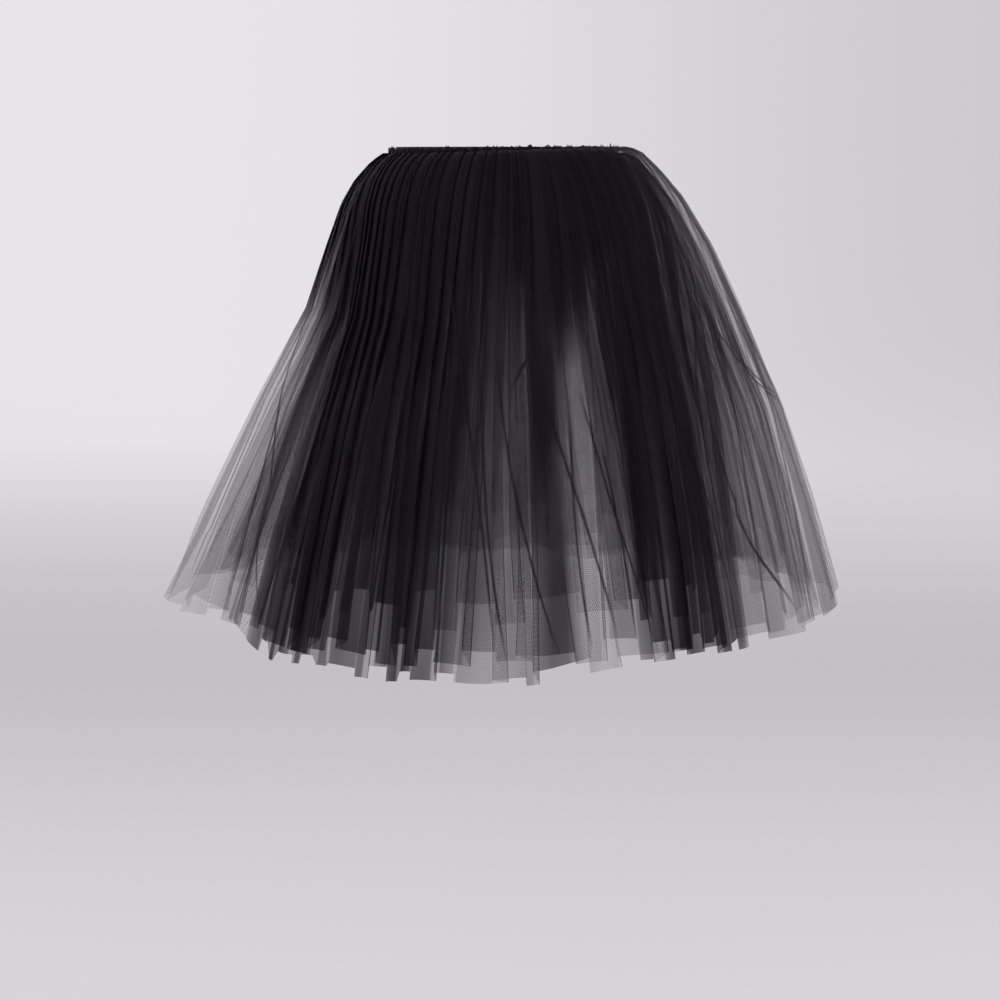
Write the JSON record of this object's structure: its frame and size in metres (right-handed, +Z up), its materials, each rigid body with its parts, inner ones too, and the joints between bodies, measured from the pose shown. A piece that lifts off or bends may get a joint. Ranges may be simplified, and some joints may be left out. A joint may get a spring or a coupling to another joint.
{
  "type": "ballet tutu",
  "caption": "Knee-length romantic ballet tutu of gathered black tulle layers on a narrow elastic waistband, in the hollow shape it has when worn.",
  "frame": {"origin": "middle of the waist, level with the seam where the tulle is sewn to the waistband, 6 mm below the band's top edge", "axes": "+Z up from the waist, -Y to the front of the skirt, +X to the wearer's left"},
  "size_m": [0.8536, 0.7986, 0.5753],
  "materials": {
    "elastic": "matt black woven elastic",
    "tulle_outer": "sheer black nylon tulle",
    "tulle_middle": "sheer black nylon tulle",
    "tulle_inner": "sheer black nylon tulle"
  },
  "bodies": {
    "root": {"waistband": "elastic", "tulle_outer_front": "tulle_outer", "tulle_outer_back": "tulle_outer", "tulle_middle_front": "tulle_middle", "tulle_middle_back": "tulle_middle", "tulle_inner_front": "tulle_inner", "tulle_inner_back": "tulle_inner"}
  },
  "joints": []
}
